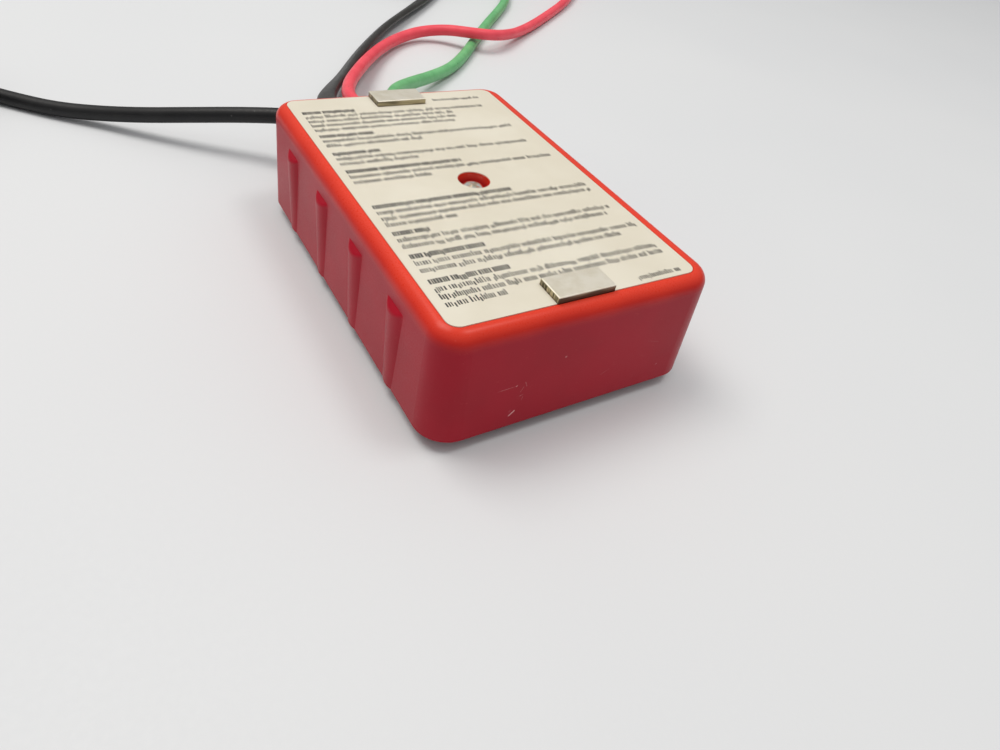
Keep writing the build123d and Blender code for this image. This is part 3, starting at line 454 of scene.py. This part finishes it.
NODE_LOOKS = {
    "case_red": ["rear_case"],
    "black_plastic": ["front_cover", "switch_housing", "tone_chip", "cord_clamp", "battery_snap"],
    "black_rubber": ["cord_grommet"],
    "label_cream": ["rear_label"],
    "label_dark": ["front_label"],
    "magnet": ["far_magnet", "near_magnet"],
    "nickel": [
        "coax_nut", "coax_ferrule", "red_clip_base", "green_clip_base", "red_clip_jaw",
        "green_clip_jaw",
    ],
    "bright_screw": ["case_screw"],
    "steel": [
        "board_screws", "clamp_screws", "unlock_spring", "red_clip_pin", "green_clip_pin",
        "red_clip_spring", "green_clip_spring",
    ],
    "gold": ["plug_contacts"],
    "copper": ["coax_pin"],
    "board_green": ["circuit_board"],
    "white_plastic": ["slide_knob", "coax_dielectric"],
    "yellow_plastic": ["unlock_button"],
    "led_green": ["norm_led"],
    "led_red": ["rev_led"],
    "ferrite": ["beeper"],
    "winding": ["transformer"],
    "capacitor": ["capacitors"],
    "resistor": ["resistors"],
    "battery_skin": ["battery"],
    "wire_red": ["battery_wires"],
    "foam_grey": ["battery_foam"],
    "boot_red": ["red_clip_boot", "red_clip_lever"],
    "boot_green": ["green_clip_boot", "green_clip_lever"],
    "clear_plastic": ["modular_plug"],
    "strap": ["coax_tie", "line_tie", "red_tie", "green_tie"],
}

for look, names in NODE_LOOKS.items():
    for name in names:
        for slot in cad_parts[name].material_slots:
            slot.material = M[look]

# ------------------------------------------------------------------ the button's spring

# The spring is copied into a mesh of its own that rides on the case.
unlock_coil = bpy.data.objects.new("unlock_coil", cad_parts["unlock_spring"].data.copy())
bpy.context.collection.objects.link(unlock_coil)
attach(unlock_coil, "case")
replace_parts(unlock_coil, "unlock_spring")
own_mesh(unlock_coil)


# ------------------------------------------------------------------ meshes


def piece(name, bm, material, smooth=True):
    """A new mesh object that rides on the case."""
    bmesh.ops.recalc_face_normals(bm, faces=bm.faces)
    mesh = bpy.data.meshes.new(name)
    bm.to_mesh(mesh)
    bm.free()
    for polygon in mesh.polygons:
        polygon.use_smooth = smooth
    mesh.materials.append(M[material])
    made = bpy.data.objects.new(name, mesh)
    bpy.context.collection.objects.link(made)
    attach(made, "case")
    return made


def skin(bm, rings):
    """Faces between rings of vertices, and across the first and the last."""
    for ring, next_ring in zip(rings, rings[1:]):
        for k in range(len(ring)):
            j = (k + 1) % len(ring)
            bm.faces.new((ring[k], ring[j], next_ring[j], next_ring[k]))
    bm.faces.new(rings[0])
    bm.faces.new(rings[-1])


def blunt(value, power):
    """A sine or cosine drawn towards -1 and 1, which makes a rounded box of an ellipse."""
    return math.copysign(abs(value) ** power, value)


# ------------------------------------------------------------------ print on the labels

# Rows of word-like dashes: height up the label of a paragraph's heading, how far right the heading
# runs, then how far right each row under it runs, in millimetres.
LEFT = -25.0
ROW_STEP = 2.12
PARAGRAPHS = [
    (34.6, -12.9, (19.5, 10.1, 10.2, 8.5)),
    (23.1, -13.2, (21.2, -3.5)),
    (15.1, -14.7, (20.9, -7.6)),
    (7.5, 0.7, (22.7, -8.4)),
    (-6.3, 5.2, (23.0, 22.8, -10.8)),
    (-15.7, -17.9, (22.7, 20.3)),
    (-23.1, -10.4, (23.5, 18.2)),
    (-30.7, -9.6, (22.8, 23.1, -13.4)),
]
# Small words on the back, and rows on the front: left end, height up the label and width.
SMALL_WORDS = [(8.3, 37.2, 12.8), (12.4, -41.0, 10.0)]
FRONT_ROWS = [
    (-15, -6.5, 30), (-9, -10.5, 18), (-17, -22.0, 34), (-17, -25.0, 30), (-17, -28.0, 33),
]
# Dashes: height of most and of some, mean width, and the gap between them, in millimetres.
HEADING_DASH = (1.35, 1.4, 0.34, 0.13)
ROW_DASH = (1.12, 1.55, 0.24, 0.21)
SMALL_DASH = (1.0, 1.35, 0.24, 0.20)
FRONT_DASH = (1.2, 1.6, 0.26, 0.22)
SPREAD, DROP, WORD_GAP = (0.75, 1.35), 0.3, 2.2
SHORTEST_WORD, LONGEST_WORD = 4, 17
INK_T = 0.03
rng = random.Random(7)


def bar(bm, x, y, z, wide, tall):
    """A thin bar of ink on a label's face at height z, in millimetres."""
    low = Vector((x, y, z - INK_T / 2))
    high = (low + Vector((wide, tall, INK_T))) * MM
    low = low * MM
    bmesh.ops.create_cube(
        bm, size=1.0, matrix=Matrix.LocRotScale((low + high) / 2, None, high - low)
    )


def dashes(bm, x, y, end, z, style):
    """Word-like groups of short upright dashes from x to end, standing on y."""
    small, tall, stroke, gap = style
    while x < end:
        for _ in range(rng.randint(SHORTEST_WORD, LONGEST_WORD)):
            if x > end:
                return
            wide = stroke * rng.uniform(*SPREAD)
            height = rng.choice((small, small, small, small, tall))
            drop = rng.choice((0, 0, 0, 0, 0, 0, 0, DROP)) * small
            bar(bm, x, y - drop, z, wide, height)
            x += wide + gap * rng.choice((0.8, 1.0, 1.5))
        x += WORD_GAP * gap


LABEL_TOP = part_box("rear_label")[1].z / MM
bm = bmesh.new()
for top, heading_end, rows in PARAGRAPHS:
    dashes(bm, LEFT, top, heading_end, LABEL_TOP, HEADING_DASH)
    for row, end in enumerate(rows, 1):
        dashes(bm, LEFT, top - ROW_STEP * row, end, LABEL_TOP, ROW_DASH)
for left, y, wide in SMALL_WORDS:
    dashes(bm, left, y, left + wide, LABEL_TOP, SMALL_DASH)
piece("rear_print", bm, "label_ink", smooth=False)

# Plain marks on the front: a border, a tick at each stop of the switch, and rows of dashes.
FRONT_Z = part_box("front_label")[0].z / MM
EDGE_X, EDGE_Y, LINE = 20.4, 35.6, 0.4
STOPS, TICK_X, TICK_W = (15.0, 21.0, 27.0), -7.6, 2.0
bm = bmesh.new()
for side in (-1, 1):
    upright = (side * EDGE_X, 0, LINE, 2 * EDGE_Y)
    level = (0, side * EDGE_Y, 2 * EDGE_X, LINE)
    for x, y, wide, tall in (upright, level):
        bar(bm, x - wide / 2, y - tall / 2, FRONT_Z, wide, tall)
for stop in STOPS:
    bar(bm, TICK_X, stop - LINE / 2, FRONT_Z, TICK_W, LINE)
for left, y, wide in FRONT_ROWS:
    dashes(bm, left, y, left + wide, FRONT_Z, FRONT_DASH)
piece("front_print", bm, "label_white_ink", smooth=False)

# ------------------------------------------------------------------ cords

# Every cord starts inside the case and leaves it level; all of this is in millimetres.
CORD_R = 2.0
INSIDE_Y, EXIT_Y, EXIT_Z = 40.5, 47.2, 14.0
EXIT_X = {"coax_cord": -14.0, "line_cord": -6.5, "red_lead": 1.5, "green_lead": 9.0}
ROUTES = {
    "coax_cord": [
        (-14.2, 52.6, 14), (-18.4, 62.6, 13.5), (-29.5, 70.1, 11.4), (-41.7, 78.3, 8.6),
        (-52.7, 86.5, 5.7), (-62.7, 94.7, 3.3), (-72, 101.3, 2.2), (-80.4, 108.6, 2),
        (-86.9, 114.6, 2.1),
    ],
    "line_cord": [
        (-6.4, 53, 13.9), (-6.4, 65, 12.5), (-4.9, 79.2, 9.8), (2.7, 94.7, 6.8), (11.3, 108.6, 4.4),
        (20.4, 123.2, 3.4), (30, 136.9, 3), (40, 149.6, 2.9), (50.1, 161.6, 2.8),
        (61.5, 173.5, 2.6), (72.4, 184.8, 2.3), (81.5, 194.3, 2.1),
    ],
    "red_lead": [
        (1.5, 53.2, 13.9), (1, 66, 13), (1.7, 77.9, 11.2), (7, 91.5, 9), (15, 105.6, 6.8),
        (24.7, 120.7, 4.8), (36.2, 135.7, 3.3), (48.3, 146.8, 2.7), (59.7, 151.5, 3.4),
        (69.4, 147.9, 5.1), (75.1, 139.6, 6.7), (83.4, 137, 6.5), (93.8, 142, 4.6),
        (106.2, 151.1, 2.6), (120.1, 161.2, 2.1), (135.3, 173.3, 2), (149.2, 184.5, 2),
        (162.9, 196.5, 2.2),
    ],
    "green_lead": [
        (9.1, 53.2, 13.9), (10.4, 65.6, 12.8), (17.4, 82.6, 10), (29.6, 95.7, 6.5),
        (43.1, 107.1, 3.5), (56.5, 117.3, 2.1), (68.8, 129.9, 2), (81.9, 145.6, 2),
        (96.2, 162.1, 2), (110.7, 177.8, 2), (123.9, 192.7, 2.2),
    ],
}
# Coils: centre, mean radius, full turns, headings in and out, and the straight tail after them.
COILS = {
    "coax_cord": ((-113.3, 113.6), 20.0, 2, 128.0, 270.0, 24.0),
    "line_cord": ((81.2, 226.4), 21.0, 1, 50.0, 160.0, 19.0),
    "red_lead": ((174.4, 237.0), 20.0, 1, 40.0, 160.0, 19.0),
    "green_lead": ((127.4, 236.0), 20.0, 1, 50.0, 160.0, 19.0),
}
COIL_LOW, TURN_POINTS, LEAD_IN, TAIL_BEND = 2.6, 16, 7.0, 0.4
# How high each kind of end holds its cord, and how far the cord goes into it.
CLIP_CORD_Z, COAX_AXIS_Z = 3.2, 5.5
INTO_CLIP, INTO_COAX, INTO_PLUG = 8, 8, 5


def toward(angle):
    """The level direction at an angle from +X, in degrees."""
    return Vector((math.cos(math.radians(angle)), math.sin(math.radians(angle)), 0))


def cord_points(name, tail_z, into_end):
    """The route's control points in millimetres, with the coil's turns and the straight tail."""
    (cx, cy), mean, turns, into, out, tail = COILS[name]
    winds = turns + ((out - into) % 360) / 360
    come_in = Vector((cx, cy, COIL_LOW)) + mean * toward(into - 90)
    points = [Vector((EXIT_X[name], INSIDE_Y, EXIT_Z)), *map(Vector, ROUTES[name])]
    points.append(come_in - LEAD_IN * toward(into))
    steps = round(winds * TURN_POINTS)
    for step in range(steps + 1):
        wound = winds * step / steps
        rise = Vector((cx, cy, COIL_LOW + 2 * CORD_R * wound))
        points.append(rise + mean * toward(into - 90 + 360 * wound))
    leave = points[-1]
    end = Vector((leave.x, leave.y, 0)) + tail * toward(out) + Vector((0, 0, tail_z))
    points += [leave.lerp(end, TAIL_BEND), end, end + into_end * toward(out)]
    return points


def nurbs(name, points):
    """One open, smooth spline with these control points."""
    curve = bpy.data.curves.new(name, "CURVE")
    curve.dimensions = "3D"
    curve.resolution_u = 10
    spline = curve.splines.new("NURBS")
    spline.points.add(len(points) - 1)
    for point, place in zip(spline.points, points):
        point.co = (*(place * MM), 1.0)
    spline.order_u = 3
    spline.use_endpoint_u = True
    made = bpy.data.objects.new(name, curve)
    bpy.context.collection.objects.link(made)
    return made


def round_cord(name, points, material):
    """A smooth round cord along a route."""
    made = nurbs(name, points)
    made.data.bevel_depth = CORD_R * MM
    made.data.bevel_resolution = 6
    made.data.use_fill_caps = True
    made.data.materials.append(M[material])
    return made


def centreline(name, points):
    """The points that a spline through a route follows, read from the spline itself."""
    guide = nurbs(name, points)
    bpy.context.view_layer.update()
    line = bpy.data.meshes.new_from_object(guide)
    places = [vertex.co.copy() for vertex in line.vertices]
    bpy.data.meshes.remove(line)
    bpy.data.objects.remove(guide)
    return places


FLAT_W, FLAT_T, GROOVE_DEPTH, GROOVE_W = 5.7, 2.5, 0.16, 0.5
# How far the flat cord is rolled, in degrees, at a distance in millimetres from its start.
FLAT_ROLL = (
    (0, 0), (12, -4), (35, -15), (60, -32), (85, -42), (115, -42), (150, -37), (195, -20),
    (230, 0), (600, 0),
)


def flat_section(count=28):
    """The flat cord's outline: two wide faces, rounded edges and a shallow groove in each face."""
    outline = []
    for step in range(count):
        angle = 2 * math.pi * (step + 0.5) / count
        x = blunt(math.cos(angle), 0.55) * FLAT_W / 2
        y = blunt(math.sin(angle), 0.62) * FLAT_T / 2
        groove = GROOVE_DEPTH * math.exp(-((x / GROOVE_W) ** 2))
        outline.append((x, y - math.copysign(groove, y)))
    return outline


def flat_cord(name, path, material):
    """A flat cord swept along points, and rolled as it goes."""
    bm = bmesh.new()
    outline = flat_section()
    travelled, rings = 0.0, []
    for index, place in enumerate(path):
        if index:
            travelled += (place - path[index - 1]).length
        before, after = path[max(index - 1, 0)], path[min(index + 1, len(path) - 1)]
        tangent = (after - before).normalized()
        roll = np.interp(travelled / MM, *zip(*FLAT_ROLL))
        wide = tangent.cross(Vector((0, 0, 1))).normalized()
        wide = Matrix.Rotation(math.radians(roll), 3, tangent) @ wide
        thick = wide.cross(tangent)
        rings.append([bm.verts.new(place + (wide * x + thick * y) * MM) for x, y in outline])
    skin(bm, rings)
    return piece(name, bm, material)


# A strap's width and thickness, its slack inside and between laps, and how square its loop is.
STRAP_W, STRAP_T, STRAP_SLACK, LAP_SLACK, STRAP_SQUARE = 4.5, 0.5, 0.15, 0.05, 0.75
# Steps in one loop and with the lap, where the lap starts to rise, and where the loop starts.
STRAP_STEPS, STRAP_LAP, LAP_FROM, LOOP_FROM = 72, 84, 0.8, 1 / 6
ACROSS, OVER_COIL = (-1, -0.5, 0, 0.5, 1), 0.1


def strap(name, cord, tie):
    """A woven strap round a coil, drawn up to its turns, with its free end lapped over the top."""
    (cx, cy), mean, turns, into, out, _ = COILS[cord]
    at = (into + out) / 2 - 90
    wound = (at - into + 90) / 360
    low = COIL_LOW - CORD_R + 2 * CORD_R * wound
    half = CORD_R * (1 + turns) + OVER_COIL
    middle = Vector((cx, cy, low + half - OVER_COIL)) + mean * toward(at)
    bm = bmesh.new()
    rings = []
    for step in range(STRAP_LAP + 1):
        angle = 2 * math.pi * (step / STRAP_STEPS + LOOP_FROM)
        rise = (STRAP_STEPS * LAP_FROM, STRAP_STEPS)
        lapped = float(np.interp(step, rise, (0, STRAP_T + LAP_SLACK)))
        taper = (STRAP_LAP - 3, STRAP_LAP - 1, STRAP_LAP)
        narrow = float(np.interp(step, taper, (1, 0.9, 0.6)))
        ring = []
        for layer, places in ((0, ACROSS), (1, ACROSS[::-1])):
            for place in places:
                out_by = lapped + layer * STRAP_T * (1 - 0.25 * place**4)
                x = blunt(math.cos(angle), STRAP_SQUARE) * (CORD_R + STRAP_SLACK + out_by)
                z = blunt(math.sin(angle), STRAP_SQUARE) * (half + out_by)
                along = toward(at + 90) * (place * narrow * STRAP_W / 2)
                corner = middle + x * toward(at) + Vector((0, 0, z)) + along
                ring.append(bm.verts.new(corner * MM))
        rings.append(ring)
    skin(bm, rings)
    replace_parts(piece(name, bm, "strap"), tie)


strap("red_strap", "red_lead", "red_tie")
strap("green_strap", "green_lead", "green_tie")
strap("coax_strap", "coax_cord", "coax_tie")
strap("line_strap", "line_cord", "line_tie")

points = cord_points("red_lead", CLIP_CORD_Z, INTO_CLIP)
red = round_cord("red_lead_cord", points, "lead_red")
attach(red, "case")
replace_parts(red, "red_lead", "red_coil")

points = cord_points("green_lead", CLIP_CORD_Z, INTO_CLIP)
green = round_cord("green_lead_cord", points, "lead_green")
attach(green, "case")
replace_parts(green, "green_lead", "green_coil")

points = cord_points("coax_cord", COAX_AXIS_Z, INTO_COAX)
coax = round_cord("coax_lead_cord", points, "cord_black")
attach(coax, "case")
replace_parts(coax, "coax_cord", "coax_coil")

points = cord_points("line_cord", CLIP_CORD_Z, INTO_PLUG)
path = centreline("line_guide", points)
line = flat_cord("line_flat_cord", path, "cord_grey")
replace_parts(line, "line_cord", "line_coil")

# ------------------------------------------------------------------ stage, lights and camera

# Half the floor's side, and how far it lies under the object so that the two don't flicker.
FLOOR_HALF, FLOOR_LOW = 2.5, 0.00006
# The room's light: how high in the sky a colour is reached, and the colour.
HORIZON, ZENITH, ROOM_LIGHT = (0.02, (0.10, 0.11, 0.12, 1)), (0.85, (0.98, 0.97, 0.95, 1)), 0.75
# Lamps: name, place in metres, watts, side in metres and colour.
LAMPS = [
    ("key", (-0.25, 0.35, 0.85), 4.4, 0.50, (1.0, 0.96, 0.90)),
    ("fill", (0.30, -0.15, 0.90), 1.6, 0.25, (1.0, 0.97, 0.93)),
]
# The camera: place in millimetres, which way its right and its up point, lens and sensor.
CAMERA_AT = (-70.07, -111.69, 94.4)
CAMERA_RIGHT, CAMERA_UP = (0.8578, -0.4901, 0.1551), (0.2423, 0.6516, 0.7188)
LENS, SENSOR_W, CLIP_NEAR, CLIP_FAR = 24.56, 36.0, 0.005, 20


def studio():
    """A pale floor, a room that is light above and dark at its horizon, and two soft lamps."""
    bm = bmesh.new()
    bmesh.ops.create_grid(bm, x_segments=4, y_segments=4, size=FLOOR_HALF)
    mesh = bpy.data.meshes.new("floor")
    bm.to_mesh(mesh)
    bm.free()
    mesh.materials.append(floor_skin())
    floor = bpy.data.objects.new("floor", mesh)
    floor.location.z = -FLOOR_LOW
    bpy.context.collection.objects.link(floor)
    world = bpy.data.worlds.new("room")
    bpy.context.scene.world = world
    world.use_nodes = True
    nodes, links = world.node_tree.nodes, world.node_tree.links
    split = nodes.new("ShaderNodeSeparateXYZ")
    ramp = nodes.new("ShaderNodeValToRGB")
    links.new(nodes.new("ShaderNodeTexCoord").outputs["Generated"], split.inputs["Vector"])
    links.new(split.outputs["Z"], ramp.inputs["Fac"])
    links.new(ramp.outputs["Color"], nodes["Background"].inputs["Color"])
    for element, (position, color) in zip(ramp.color_ramp.elements, (HORIZON, ZENITH)):
        element.position, element.color = position, color
    nodes["Background"].inputs["Strength"].default_value = ROOM_LIGHT
    for name, place, power, size, color in LAMPS:
        light = bpy.data.lights.new(name, "AREA")
        light.energy, light.size, light.color = power, size, color
        lamp = bpy.data.objects.new(name, light)
        lamp.location = place
        lamp.rotation_euler = (-Vector(place)).to_track_quat("-Z", "Y").to_euler()
        bpy.context.collection.objects.link(lamp)
    bpy.context.scene.view_settings.view_transform = "Standard"


def camera():
    """Close above the near left corner, wide-angled, and rolled a little."""
    data = bpy.data.cameras.new("camera")
    data.lens, data.sensor_width = LENS, SENSOR_W
    data.clip_start, data.clip_end = CLIP_NEAR, CLIP_FAR
    made = bpy.data.objects.new("camera", data)
    right, up = Vector(CAMERA_RIGHT), Vector(CAMERA_UP)
    turned = Matrix((right, up, right.cross(up))).transposed()
    made.matrix_world = Matrix.Translation(Vector(CAMERA_AT) * MM) @ turned.to_4x4()
    bpy.context.collection.objects.link(made)
    bpy.context.scene.camera = made


studio()
camera()
